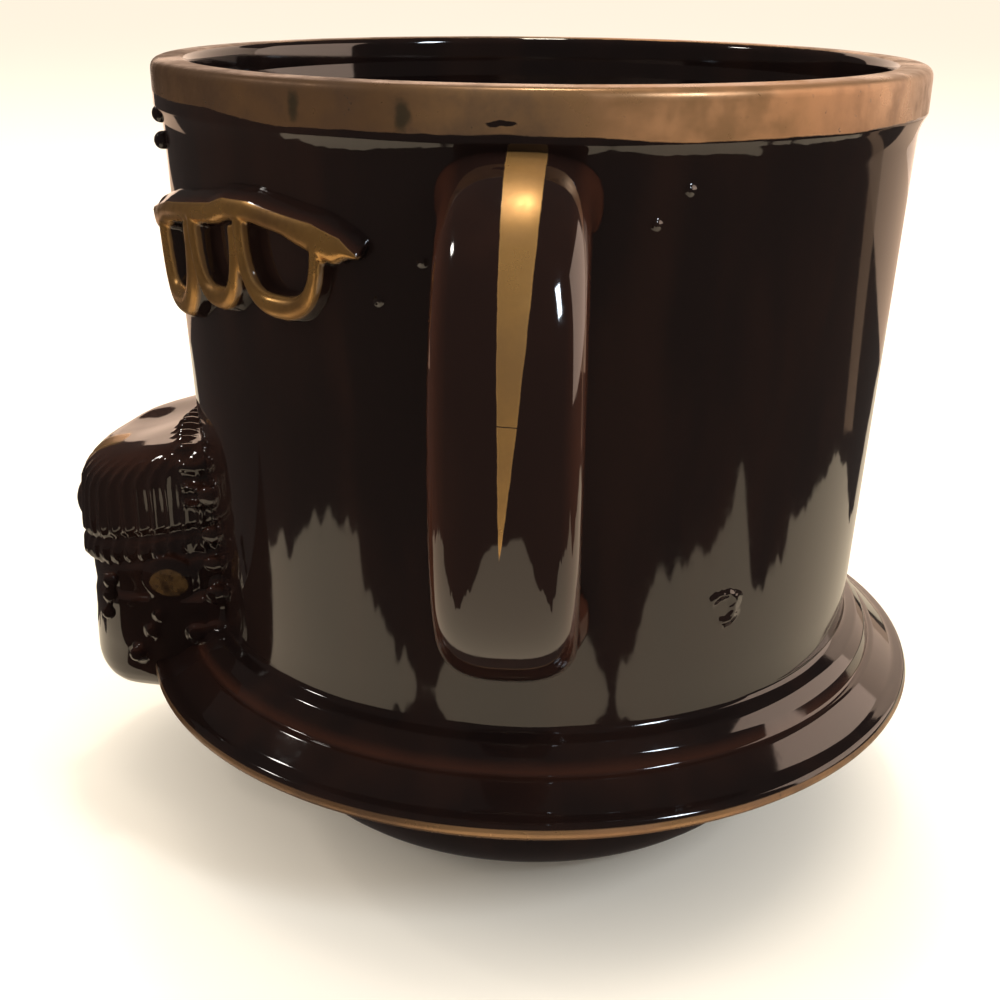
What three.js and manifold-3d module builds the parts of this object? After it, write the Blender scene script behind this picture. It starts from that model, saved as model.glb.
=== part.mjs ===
// Mug planter: a large glazed earthenware mug with a saucer cast on, a strap handle on its side,
// a pair of raised eye-shaped ornaments and a ribbed boss on its front.
// Millimetres, +Z up. The origin is the middle of the foot's underside, the handle points to -Y
// and the front with the boss to -X. The whole mug is one casting, so it is one solid.
import * as THREE from 'three';
import { mergeVertices } from 'three/addons/utils/BufferGeometryUtils.js';
import Module from 'manifold-3d';

const wasm = await Module();
wasm.setup();

// Body
const TOTAL_HEIGHT = 170;
const RIM_RADIUS = 80;
const RIM_WALL = 7.4;
const RIM_ROUNDING = 1.6;
const BAND_HEIGHT = 9.4;
const BAND_FLARE = 0.9;
const COVE_RADIUS = 3.0;
const WALL_TOP_RADIUS = 78.6;
const WALL_FOOT_RADIUS = 73.8;
const WALL_THICKNESS = 6.4;

// Saucer cast on under the wall
const STEP_TOP_HEIGHT = 50.2;
const STEP_RADIUS = 78.8;
const STEP_DROP = 3.4;
const STEP_FOOT_RADIUS = 80.2;
const STEP_FOOT_DROP = 3.4;
const SAUCER_RADIUS = 89.7;
const SAUCER_TOP_HEIGHT = 38.4;
const SAUCER_EDGE = 3.4;

// Bowl-shaped base and foot ring
const FOOT_RADIUS = 46.5;
const FOOT_HEIGHT = 4.0;
const FOOT_ROUNDING = 1.0;
const BOWL_SHOULDER_RADIUS = 68;
const FLOOR_THICKNESS = 7.0;

// Strap handle
const HANDLE_TOP = 159.5;
const HANDLE_BOTTOM = 67.5;
const HANDLE_REACH = 113.5;
const HANDLE_WIDTH = 24.4;
const HANDLE_THICKNESS = 16;
const HANDLE_SQUARENESS = 2.7;
const HANDLE_BOW = 2.5;

// Raised eye-shaped ornaments, one on each side of the front
const EYE_AZIMUTH = 44.5;
const EYE_HALF_SPAN = 27;
const EYE_RELIEF = 4.0;
const EYE_BED = 2.5;
const EYE_BEVEL = 0.9;
const BROW_TOP_BEVEL = 3.0;
const BROW_PEAK_HEIGHT = 147.4;
const BROW_BACK_HEIGHT = 145.4;
const BROW_FRONT_HEIGHT = 143.0;
const BROW_TIP_HEIGHT = 140.6;
const BROW_HALF_WIDTH = 1.9;
const LOOP_HALF_WIDTH = 1.5;

// Boss on the front, in three tiers that droop away from the wall
const CAP_REACH = 106;
const CAP_HALF_WIDTH = 29.5;
const CAP_TOP = 89.5;
const CAP_BOTTOM = 63.5;
const CAP_DROOP = 0.24;
const CAP_ROUNDING = 7.5;
const ROLL_REACH = 104.5;
const ROLL_HALF_WIDTH = 30.5;
const ROLL_HEIGHT = 9;
const CHIN_REACH = 104.5;
const CHIN_HALF_WIDTH = 33;
const CHIN_BOTTOM = 29;
const CHIN_ROUNDING = 8;
const TIER_LAP = 1.2;
const TIER_ROUNDING = 2.6;
const BOSS_CORNER = 2.9;
const BOSS_WALL = 8;
const BOSS_ROOT_DEPTH = 16;
const RIB_PITCH = 2.2;
const RIB_DEPTH = 0.5;
const NUB_RADIUS = 8;
const NUB_STANDOUT = 4.2;
const NUB_HEIGHT = 64.5;

// Fineness of the facets
const BODY_SEGMENTS = 64;
const HANDLE_STEPS = 24;
const HANDLE_SIDES = 16;

// Where the front is, turned from the handle
const FRONT_DEGREES = -90;

function toSolid(geometry) {
  geometry.deleteAttribute('normal');
  geometry.deleteAttribute('uv');
  const merged = mergeVertices(geometry, 1e-4);
  const mesh = new wasm.Mesh({
    numProp: 3,
    vertProperties: new Float32Array(merged.attributes.position.array),
    triVerts: new Uint32Array(merged.index.array),
  });
  return new wasm.Manifold(mesh);
}

// A solid of revolution about +Z from a closed outline of [radius, height] pairs.
function turned(outline) {
  const profile = outline.map(([radius, height]) => new THREE.Vector2(radius, height));
  const geometry = new THREE.LatheGeometry(profile, BODY_SEGMENTS);
  geometry.rotateX(Math.PI / 2);
  return toSolid(geometry);
}

// A closed skin over a row of rings of points, with a fan over each end.
function loft(rings) {
  const sides = rings[0].length;
  const points = rings.flat();
  const faces = [];
  for (let ring = 0; ring < rings.length - 1; ring++) {
    for (let side = 0; side < sides; side++) {
      const a = ring * sides + side;
      const b = ring * sides + (side + 1) % sides;
      faces.push(a, b, b + sides, a, b + sides, a + sides);
    }
  }
  const middle = (ring) => ring.reduce((sum, p) => sum.add(p), new THREE.Vector3()).divideScalar(sides);
  const first = points.push(middle(rings[0])) - 1;
  const last = points.push(middle(rings[rings.length - 1])) - 1;
  const start = (rings.length - 1) * sides;
  for (let side = 0; side < sides; side++) {
    const next = (side + 1) % sides;
    faces.push(first, next, side, last, start + side, start + next);
  }
  return toSolid(outward(points, faces));
}

// Turns the faces round where they point inwards.
function outward(points, faces) {
  let volume = 0;
  for (let i = 0; i < faces.length; i += 3) {
    const [a, b, c] = [points[faces[i]], points[faces[i + 1]], points[faces[i + 2]]];
    volume += a.dot(new THREE.Vector3().crossVectors(b, c));
  }
  const geometry = new THREE.BufferGeometry().setFromPoints(points);
  geometry.setIndex(volume > 0 ? faces : faces.slice().reverse());
  return geometry;
}

// A point at a radius, an angle from the handle (minus is towards the front) and a height.
function around(radius, degrees, height) {
  const angle = THREE.MathUtils.degToRad(degrees);
  return new THREE.Vector3(radius * Math.sin(angle), -radius * Math.cos(angle), height);
}

function wallRadius(height) {
  const share = (height - STEP_TOP_HEIGHT) / (TOTAL_HEIGHT - BAND_HEIGHT - STEP_TOP_HEIGHT);
  return WALL_FOOT_RADIUS + (WALL_TOP_RADIUS - WALL_FOOT_RADIUS) * share;
}

// Points along an arc about a centre, from one angle to another.
function arc(centreRadius, centreHeight, radius, fromDegrees, toDegrees, steps) {
  const points = [];
  for (let i = 0; i <= steps; i++) {
    const angle = THREE.MathUtils.degToRad(fromDegrees + (toDegrees - fromDegrees) * i / steps);
    points.push([centreRadius + radius * Math.cos(angle), centreHeight + radius * Math.sin(angle)]);
  }
  return points;
}

// The bowl under the saucer, as a smooth swell from the foot ring to the saucer.
function bowl(fromRadius, fromHeight, toRadius, toHeight, steps) {
  const points = [];
  for (let i = 1; i < steps; i++) {
    const angle = Math.PI / 2 * i / steps;
    points.push([
      fromRadius + (toRadius - fromRadius) * Math.sin(angle),
      fromHeight + (toHeight - fromHeight) * (1 - Math.cos(angle)),
    ]);
  }
  return points;
}

function makeOuterBody() {
  const bandBottom = TOTAL_HEIGHT - BAND_HEIGHT;
  const bandRadius = RIM_RADIUS + BAND_FLARE;
  const lipTop = SAUCER_TOP_HEIGHT;
  const lipBottom = lipTop - SAUCER_EDGE;
  return turned([
    [0, 0],
    [FOOT_RADIUS - FOOT_ROUNDING, 0],
    [FOOT_RADIUS, FOOT_ROUNDING],
    [FOOT_RADIUS, FOOT_HEIGHT],
    ...bowl(FOOT_RADIUS, FOOT_HEIGHT, BOWL_SHOULDER_RADIUS, lipBottom - SAUCER_EDGE, 6),
    [BOWL_SHOULDER_RADIUS, lipBottom - SAUCER_EDGE],
    [SAUCER_RADIUS - SAUCER_EDGE / 2, lipBottom],
    [SAUCER_RADIUS, lipBottom + SAUCER_EDGE / 3],
    [SAUCER_RADIUS - SAUCER_EDGE / 4, lipTop],
    [SAUCER_RADIUS - SAUCER_EDGE, lipTop + SAUCER_EDGE / 4],
    [STEP_FOOT_RADIUS, STEP_TOP_HEIGHT - STEP_DROP - STEP_FOOT_DROP],
    [STEP_RADIUS, STEP_TOP_HEIGHT - STEP_DROP],
    [(STEP_RADIUS + WALL_FOOT_RADIUS) / 2, STEP_TOP_HEIGHT - STEP_DROP / 3],
    [WALL_FOOT_RADIUS, STEP_TOP_HEIGHT],
    [WALL_TOP_RADIUS, bandBottom - COVE_RADIUS],
    ...arc(WALL_TOP_RADIUS + COVE_RADIUS, bandBottom - COVE_RADIUS, COVE_RADIUS, 180, 90, 3).slice(1),
    [bandRadius, bandBottom],
    [RIM_RADIUS, TOTAL_HEIGHT - RIM_ROUNDING],
    [RIM_RADIUS - RIM_ROUNDING / 2, TOTAL_HEIGHT],
    [0, TOTAL_HEIGHT],
  ]);
}

// The hollow: down the wall, then in to the floor inside the bowl.
function makeHollow() {
  const rimInner = RIM_RADIUS - RIM_WALL;
  const bandBottom = TOTAL_HEIGHT - BAND_HEIGHT;
  const bowlTop = STEP_TOP_HEIGHT - STEP_DROP;
  const floorRadius = FOOT_RADIUS - WALL_THICKNESS;
  const wallFoot = WALL_FOOT_RADIUS - WALL_THICKNESS;
  const above = 10;
  return turned([
    [0, FLOOR_THICKNESS],
    [floorRadius, FLOOR_THICKNESS],
    ...bowl(floorRadius, FLOOR_THICKNESS, wallFoot, bowlTop, 6),
    [wallFoot, bowlTop],
    [WALL_TOP_RADIUS - WALL_THICKNESS, bandBottom],
    [rimInner, TOTAL_HEIGHT - RIM_ROUNDING],
    [rimInner + RIM_ROUNDING / 2, TOTAL_HEIGHT],
    [rimInner + RIM_ROUNDING / 2, TOTAL_HEIGHT + above],
    [0, TOTAL_HEIGHT + above],
  ]);
}

// A rounded oblong outline of unit half sizes at an angle, squarer as the power grows.
function superEllipse(angle, power) {
  const bend = (value) => Math.sign(value) * Math.abs(value) ** (2 / power);
  return [bend(Math.cos(angle)), bend(Math.sin(angle))];
}

// The strap: a rounded section carried along a bowed half oval, both ends sunk in the wall.
function makeHandle() {
  const root = WALL_FOOT_RADIUS + HANDLE_BOW;
  const middle = (HANDLE_TOP + HANDLE_BOTTOM) / 2;
  const rise = (HANDLE_TOP - HANDLE_BOTTOM) / 2 - HANDLE_THICKNESS / 2;
  const reach = HANDLE_REACH - HANDLE_THICKNESS / 2 - root;
  const rings = [];
  for (let step = 0; step <= HANDLE_STEPS; step++) {
    const angle = Math.PI * (step / HANDLE_STEPS - 0.5);
    const [out, up] = superEllipse(angle, 2.35);
    const centre = new THREE.Vector2(root + reach * out, middle + rise * up);
    const normal = new THREE.Vector2(Math.cos(angle) / reach, Math.sin(angle) / rise).normalize();
    const ring = [];
    for (let side = 0; side < HANDLE_SIDES; side++) {
      const [across, thick] = superEllipse(2 * Math.PI * side / HANDLE_SIDES, HANDLE_SQUARENESS);
      const offset = thick * HANDLE_THICKNESS / 2;
      const radius = centre.x + normal.x * offset;
      ring.push(new THREE.Vector3(across * HANDLE_WIDTH / 2, -radius, centre.y + normal.y * offset));
    }
    rings.push(ring);
  }
  return loft(rings);
}

// A flat-faced ridge on the wall along a path of [degrees, height, half width] stations.
function makeRidge(stations, upperBevel = EYE_BEVEL) {
  const path = stations.map(([degrees, height]) => new THREE.Vector2(degrees, height));
  const millimetresPerDegree = THREE.MathUtils.degToRad(WALL_TOP_RADIUS);
  const section = [[-1, -EYE_BED, EYE_BEVEL], [-1, 0, EYE_BEVEL], [-1, EYE_RELIEF, 0],
    [1, EYE_RELIEF, 0], [1, 0, upperBevel], [1, -EYE_BED, upperBevel]];
  const rings = stations.map(([degrees, height, halfWidth], i) => {
    const ahead = path[Math.min(i + 1, path.length - 1)];
    const behind = path[Math.max(i - 1, 0)];
    const run = new THREE.Vector2((ahead.x - behind.x) * millimetresPerDegree, ahead.y - behind.y);
    run.normalize();
    return section.map(([side, out, spread]) => {
      const shift = side * (halfWidth + spread);
      const z = height + run.x * shift;
      return around(wallRadius(z) + out, degrees - run.y * shift / millimetresPerDegree, z);
    });
  });
  return loft(rings);
}

// The brow: a ridge that peaks near its middle and runs out to a leaf-shaped tip at each end.
function browHeight(share) {
  const side = share < 0 ? BROW_FRONT_HEIGHT : BROW_BACK_HEIGHT;
  const reach = Math.abs(share);
  const shoulder = 0.62;
  if (reach < shoulder) return THREE.MathUtils.lerp(BROW_PEAK_HEIGHT, side, reach / shoulder);
  return THREE.MathUtils.lerp(side, BROW_TIP_HEIGHT, (reach - shoulder) / (1 - shoulder));
}

function makeBrow(centreDegrees, mirror) {
  const stations = [];
  const steps = 16;
  for (let i = 0; i <= steps; i++) {
    const share = mirror * (2 * i / steps - 1);
    const leaf = Math.exp(-(((Math.abs(share) - 0.84) / 0.11) ** 2));
    const taper = Math.min(1, (1.02 - Math.abs(share)) / 0.14);
    const halfWidth = (BROW_HALF_WIDTH + 1.3 * leaf) * taper;
    const height = browHeight(share) - BROW_HALF_WIDTH;
    stations.push([centreDegrees + mirror * share * EYE_HALF_SPAN, height, halfWidth]);
  }
  return makeRidge(stations, BROW_TOP_BEVEL);
}

// A loop that hangs from the brow: down one side, round a deeper bottom and up the other.
function makeLoop(centreDegrees, mirror, { offset, halfSpan, top, bottom, weight }) {
  const stations = [];
  const steps = 14;
  for (let i = 0; i <= steps; i++) {
    const angle = Math.PI * i / steps;
    const [across, down] = superEllipse(angle, 2.7);
    const halfWidth = LOOP_HALF_WIDTH + weight * Math.sin(angle) ** 4;
    const degrees = centreDegrees + mirror * (offset - across * halfSpan);
    stations.push([degrees, top - (top - bottom) * down, halfWidth]);
  }
  return makeRidge(stations);
}

function makeEye(centreDegrees, mirror) {
  const loops = [
    { offset: 13.4, halfSpan: 6.4, top: BROW_BACK_HEIGHT - 2, bottom: 130.4, weight: 0.9 },
    { offset: 0.6, halfSpan: 5.6, top: BROW_PEAK_HEIGHT - 4, bottom: 129.4, weight: 0.9 },
    { offset: -12.6, halfSpan: 6.4, top: BROW_FRONT_HEIGHT - 2, bottom: 124.6, weight: 0.9 },
  ];
  return loops.map((loop) => makeLoop(centreDegrees, mirror, loop))
    .reduce((all, loop) => all.add(loop), makeBrow(centreDegrees, mirror));
}

// Plan outline of a tier, from its root inside the wall round the front and back to the root.
class TierPlan extends THREE.Curve {
  constructor(reach, halfWidth) {
    super();
    this.root = WALL_FOOT_RADIUS - BOSS_ROOT_DEPTH;
    this.depth = reach - this.root;
    this.halfWidth = halfWidth;
  }

  getPoint(t, target = new THREE.Vector3()) {
    const [out, across] = superEllipse(Math.PI * (t - 0.5), BOSS_CORNER);
    return target.set(this.root + this.depth * out, this.halfWidth * across, 0);
  }
}

// Heights of a tier's rings and how far each is drawn in, for a quarter round at both edges.
function tierLevels(bottom, top, bottomRounding, topRounding) {
  const steps = 3;
  const levels = [];
  for (let i = steps; i >= 0; i--) {
    const angle = Math.PI / 2 * i / steps;
    levels.push([bottom + bottomRounding * (1 - Math.sin(angle)), bottomRounding * (1 - Math.cos(angle))]);
  }
  for (let i = 0; i <= steps; i++) {
    const angle = Math.PI / 2 * i / steps;
    levels.push([top - topRounding * (1 - Math.sin(angle)), topRounding * (1 - Math.cos(angle))]);
  }
  return levels;
}

// One tier of the boss, with ribs round its side where a rib depth is given.
function makeTier({ reach, halfWidth, bottom, top, bottomRounding, topRounding, droop, ribDepth }) {
  const girth = 2 * (reach - WALL_FOOT_RADIUS + BOSS_ROOT_DEPTH + halfWidth);
  const count = ribDepth ? 2 * Math.round(girth / RIB_PITCH / 2) + 1 : 25;
  const rings = tierLevels(bottom, top, bottomRounding, topRounding).map(([height, inset]) => {
    const outline = new TierPlan(reach - inset, halfWidth - inset).getSpacedPoints(count);
    return outline.map((point, i) => {
      const swell = (i % 2 ? ribDepth : -ribDepth) * (1 - inset / Math.max(topRounding, bottomRounding));
      const bearing = new THREE.Vector2(point.x - WALL_FOOT_RADIUS, point.y).normalize();
      const out = point.x + swell * Math.max(0, bearing.x);
      const fall = droop * (out - WALL_FOOT_RADIUS);
      return new THREE.Vector3(-out, point.y + swell * bearing.y, height - fall);
    });
  });
  return loft(rings);
}

function ellipsoid(reach, across, height, radii) {
  const geometry = new THREE.SphereGeometry(1, 16, 10);
  geometry.scale(...radii);
  geometry.translate(-reach, across, height);
  return toSolid(geometry);
}

function makeBoss() {
  const rollBottom = CAP_BOTTOM - ROLL_HEIGHT;
  const cap = makeTier({
    reach: CAP_REACH, halfWidth: CAP_HALF_WIDTH, bottom: CAP_BOTTOM, top: CAP_TOP,
    bottomRounding: TIER_ROUNDING, topRounding: CAP_ROUNDING, droop: CAP_DROOP, ribDepth: RIB_DEPTH,
  });
  const roll = makeTier({
    reach: ROLL_REACH, halfWidth: ROLL_HALF_WIDTH, bottom: rollBottom, top: CAP_BOTTOM + TIER_LAP,
    bottomRounding: TIER_ROUNDING, topRounding: TIER_ROUNDING, droop: CAP_DROOP, ribDepth: 0,
  });
  const chin = makeTier({
    reach: CHIN_REACH, halfWidth: CHIN_HALF_WIDTH, bottom: CHIN_BOTTOM, top: rollBottom + TIER_LAP,
    bottomRounding: CHIN_ROUNDING, topRounding: TIER_ROUNDING, droop: CAP_DROOP / 2, ribDepth: 0,
  });
  const nubReach = CAP_REACH + NUB_STANDOUT - NUB_RADIUS;
  const nub = ellipsoid(nubReach, 0, NUB_HEIGHT, [NUB_RADIUS, NUB_RADIUS, NUB_RADIUS]);
  return [roll, chin, nub].reduce((all, form) => all.add(form), cap);
}

// Inside the boss the casting is hollowed as well, so that its wall stays thin enough to fire.
function makeBossHollow() {
  const start = WALL_FOOT_RADIUS - WALL_THICKNESS - BOSS_WALL / 2;
  const middle = (CAP_TOP + CHIN_BOTTOM) / 2;
  const halfHeight = (CAP_TOP - CHIN_BOTTOM) / 2 - BOSS_WALL;
  return ellipsoid(start, 0, middle, [CAP_REACH - BOSS_WALL - start, CAP_HALF_WIDTH - BOSS_WALL, halfHeight]);
}

function makeMug() {
  const eyeDegrees = FRONT_DEGREES + EYE_AZIMUTH;
  const farEyeDegrees = FRONT_DEGREES - EYE_AZIMUTH;
  const solid = makeOuterBody()
    .add(makeHandle())
    .add(makeEye(eyeDegrees, 1))
    .add(makeEye(farEyeDegrees, -1))
    .add(makeBoss())
    .subtract(makeHollow())
    .subtract(makeBossHollow());
  const mesh = solid.getMesh();
  const geometry = new THREE.BufferGeometry();
  geometry.setAttribute('position', new THREE.BufferAttribute(mesh.vertProperties, mesh.numProp));
  geometry.setIndex(new THREE.BufferAttribute(mesh.triVerts, 1));
  geometry.computeVertexNormals();
  return geometry;
}

const glaze = new THREE.MeshStandardMaterial({ color: 0x241613, roughness: 0.12, metalness: 0 });
const mug = new THREE.Mesh(makeMug(), glaze);
mug.name = 'mug';

const planter = new THREE.Group();
planter.add(mug);

export default planter;
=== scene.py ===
import math

import bmesh
import bpy
import numpy as np
from mathutils import Matrix, Vector, noise


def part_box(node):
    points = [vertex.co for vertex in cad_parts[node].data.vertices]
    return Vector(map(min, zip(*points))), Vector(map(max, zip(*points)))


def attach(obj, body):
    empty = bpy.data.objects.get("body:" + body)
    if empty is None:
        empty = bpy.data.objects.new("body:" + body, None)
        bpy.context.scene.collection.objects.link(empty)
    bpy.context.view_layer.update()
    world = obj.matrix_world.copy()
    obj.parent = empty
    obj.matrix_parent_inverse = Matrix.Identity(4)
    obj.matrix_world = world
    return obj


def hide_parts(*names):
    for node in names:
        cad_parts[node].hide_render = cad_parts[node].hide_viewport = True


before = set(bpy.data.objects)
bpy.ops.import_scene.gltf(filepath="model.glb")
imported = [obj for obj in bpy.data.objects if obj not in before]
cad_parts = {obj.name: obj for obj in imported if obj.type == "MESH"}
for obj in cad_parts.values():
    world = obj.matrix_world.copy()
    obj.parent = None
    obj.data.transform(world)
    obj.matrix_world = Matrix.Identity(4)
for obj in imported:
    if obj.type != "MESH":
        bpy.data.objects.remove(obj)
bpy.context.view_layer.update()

# The cast body: a slip-cast mug of red earthenware with a banded rim, a saucer and a bowl-shaped
# base in one piece with it, dipped in dark brown glaze. Its outline is turned about the axis, and
# the wall keeps the slight unevenness of a casting, which breaks up what it mirrors.
mm = 0.001
low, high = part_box("mug")
body_height = high.z
saucer_radius = high.x
rim_radius = 80.0 * mm
rim_wall = 7.4 * mm
rim_rounding = 2.2 * mm
band_height = 9.4 * mm
band_radius = 80.2 * mm
cove_radius = 3.0 * mm
cove_start = 156.1 * mm
cove_sweep = 9.3 * mm
cove_lean, cove_steep = math.radians(2.6), math.radians(30)
wall_top_radius = 78.6 * mm
wall_foot_radius = 73.8 * mm
wall_thickness = 6.4 * mm
step_top = 50.2 * mm
step_radius = 78.8 * mm
step_drop = 3.4 * mm
step_foot_radius = 80.2 * mm
saucer_top = 38.4 * mm
saucer_edge = 3.4 * mm
foot_radius = 46.5 * mm
foot_height = 4.0 * mm
bowl_radius = 68.0 * mm
floor_thickness = 7.0 * mm
body_segments = 224
cast_unevenness = 0.16 * mm
slow_wave, slow_wave_up = 22, 9
fast_wave, fast_wave_up = 60, 26


def rounded(corners, steps=6):
    """Points of an outline of (radius, height, rounding) corners, each corner an arc."""
    points = []
    for i, (r, z, rounding) in enumerate(corners):
        here = Vector((r, z))
        if rounding == 0 or i in (0, len(corners) - 1):
            points.append(here)
            continue
        back = Vector(corners[i - 1][:2]) - here
        ahead = Vector(corners[i + 1][:2]) - here
        turn = back.angle(ahead)
        reach = min(rounding / math.tan(turn / 2), 0.49 * back.length, 0.49 * ahead.length)
        start, end = here + back.normalized() * reach, here + ahead.normalized() * reach
        for k in range(steps + 1):
            t = k / steps
            points.append(start.lerp(here, t).lerp(here.lerp(end, t), t))
    return points


def swell(r0, z0, r1, z1, steps=14):
    """Points of a bowl that swells out of (r0, z0) and rises upright into (r1, z1)."""
    turns = [math.pi / 2 * i / steps for i in range(1, steps)]
    return [(r0 + (r1 - r0) * math.sin(a), z0 + (z1 - z0) * (1 - math.cos(a)), 0) for a in turns]


def wall_radius(z):
    share = (z - step_top) / (body_height - band_height - cove_radius - step_top)
    return wall_foot_radius + (wall_top_radius - wall_foot_radius) * min(max(share, 0), 1)


def around(radius, degrees, z):
    angle = math.radians(degrees)
    return Vector((radius * math.sin(angle), -radius * math.cos(angle), z))


def body_outline():
    band_bottom = body_height - band_height
    lip_bottom = saucer_top - saucer_edge
    wall_rows = 44
    wall_top = band_bottom - cove_radius
    rows = [step_top + (wall_top - step_top) * i / wall_rows for i in range(2, wall_rows)]
    inner_rim = rim_radius - rim_wall
    inner_foot = wall_foot_radius - wall_thickness
    floor_radius = foot_radius - wall_thickness
    bowl_top = step_top - step_drop
    turns = [cove_lean + (cove_steep - cove_lean) * i / 8 for i in range(9)]
    cove = [(wall_radius(cove_start) + cove_sweep * (math.cos(cove_lean) - math.cos(turn)),
             cove_start + cove_sweep * (math.sin(turn) - math.sin(cove_lean)), 0) for turn in turns]
    return rounded([
        (0, 0, 0),
        (foot_radius - 1.2 * mm, 0, 0.8 * mm),
        (foot_radius, 1.2 * mm, 0.8 * mm),
        (foot_radius, foot_height, 0.9 * mm),
        *swell(foot_radius, foot_height, bowl_radius, lip_bottom - saucer_edge),
        (bowl_radius, lip_bottom - saucer_edge, 2.0 * mm),
        (saucer_radius - saucer_edge / 2, lip_bottom - 0.2 * mm, 1.2 * mm),
        (saucer_radius, lip_bottom + saucer_edge * 0.4, 1.4 * mm),
        (saucer_radius - saucer_edge / 4, saucer_top + 0.3 * mm, 1.5 * mm),
        (saucer_radius - saucer_edge, saucer_top + saucer_edge / 4, 3.0 * mm),
        (step_foot_radius + 1.2 * mm, step_top - 2.3 * step_drop + 1.2 * mm, 1.6 * mm),
        (step_foot_radius, step_top - 1.9 * step_drop, 1.2 * mm),
        (step_radius + 0.3 * mm, step_top - step_drop, 1.2 * mm),
        (wall_foot_radius + 3.2 * mm, step_top - 1.3 * mm, 2.0 * mm),
        (wall_foot_radius + 0.2 * mm, step_top - 0.2 * mm, 1.6 * mm),
        *[(wall_radius(z), z, 0) for z in rows],
        *cove,
        (band_radius, band_bottom + 0.45 * mm, 0.9 * mm),
        (band_radius, body_height - 0.2 * mm, rim_rounding),
        (inner_rim + 0.2 * mm, body_height, rim_rounding),
        (inner_rim, body_height - 6.0 * mm, 3.0 * mm),
        (wall_top_radius - wall_thickness, band_bottom, 6.0 * mm),
        (inner_foot, bowl_top, 10.0 * mm),
        *reversed(swell(floor_radius, floor_thickness, inner_foot, bowl_top)),
        (floor_radius, floor_thickness, 4.0 * mm),
        (0, floor_thickness, 0),
    ])


def turned(outline, segments):
    """A solid of revolution about the axis."""
    bm = bmesh.new()
    verts = [bm.verts.new((0, -p.x, p.y)) for p in outline]
    edges = [bm.edges.new(pair) for pair in zip(verts, verts[1:])]
    bmesh.ops.spin(bm, geom=verts + edges, cent=(0, 0, 0), axis=(0, 0, 1), dvec=(0, 0, 0),
                   angle=2 * math.pi, steps=segments, use_merge=True)
    bmesh.ops.remove_doubles(bm, verts=bm.verts, dist=0.01 * mm)
    bmesh.ops.recalc_face_normals(bm, faces=bm.faces)
    return bm


def piece_from(bm, name):
    for face in bm.faces:
        face.smooth = True
    mesh = bpy.data.meshes.new(name)
    bm.to_mesh(mesh)
    bm.free()
    piece = bpy.data.objects.new(name, mesh)
    bpy.context.scene.collection.objects.link(piece)
    return piece


def positions(mesh):
    flat = np.empty(len(mesh.vertices) * 3)
    mesh.vertices.foreach_get("co", flat)
    return flat.reshape(-1, 3)


def vertex_normals(mesh):
    flat = np.empty(len(mesh.vertices) * 3)
    mesh.vertex_normals.foreach_get("vector", flat)
    return flat.reshape(-1, 3)


def keep_attribute(mesh, name, values):
    layer = mesh.attributes.new(name, "FLOAT", "POINT")
    layer.data.foreach_set("value", np.asarray(values, dtype=np.float32))


def ramp(values, start, end):
    """0 before start, 1 past end, and a smooth rise between."""
    t = np.clip((values - start) / (end - start), 0, 1)
    return t * t * (3 - 2 * t)


bm = turned(body_outline(), body_segments)
for vert in bm.verts:
    radius = math.hypot(vert.co.x, vert.co.y)
    if radius > wall_foot_radius - 1 * mm and step_top < vert.co.z < body_height - 6 * mm:
        wave = noise.noise(Vector((vert.co.x * slow_wave, vert.co.y * slow_wave,
                                   vert.co.z * slow_wave_up)))
        ripple = noise.noise(Vector((vert.co.x * fast_wave, vert.co.y * fast_wave,
                                     vert.co.z * fast_wave_up + 4)))
        push = 1 + cast_unevenness * (wave + 0.3 * ripple) / radius
        vert.co.x *= push
        vert.co.y *= push
body = piece_from(bm, "mug_body")


class Socket:
    """A shader value. Arithmetic on it adds Math nodes."""

    def __init__(self, nodes, out):
        self.nodes = nodes
        self.out = out

    def math(self, operation, *others):
        return self.nodes.add("ShaderNodeMath", {"operation": operation}, [self, *others])

    def __add__(self, other):
        return self.math("ADD", other)

    def __sub__(self, other):
        return self.math("SUBTRACT", other)

    def __rsub__(self, other):
        return self.nodes.add("ShaderNodeMath", {"operation": "SUBTRACT"}, [other, self])

    def __mul__(self, other):
        return self.math("MULTIPLY", other)

    def __truediv__(self, other):
        return self.math("DIVIDE", other)

    __radd__ = __add__
    __rmul__ = __mul__

    def abs(self):
        return self.math("ABSOLUTE")

    def clamped(self):
        return self.nodes.add("ShaderNodeClamp", {}, [self])

    def rise(self, start, end):
        """0 before start, 1 past end, smooth between."""
        return self.nodes.add("ShaderNodeMapRange", {"interpolation_type": "SMOOTHSTEP"},
                              [self, start, end])

    def within(self, start, end, soft):
        """1 between start and end, fading over soft."""
        return self.rise(start - soft, start + soft) * (1 - self.rise(end - soft, end + soft))


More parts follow.
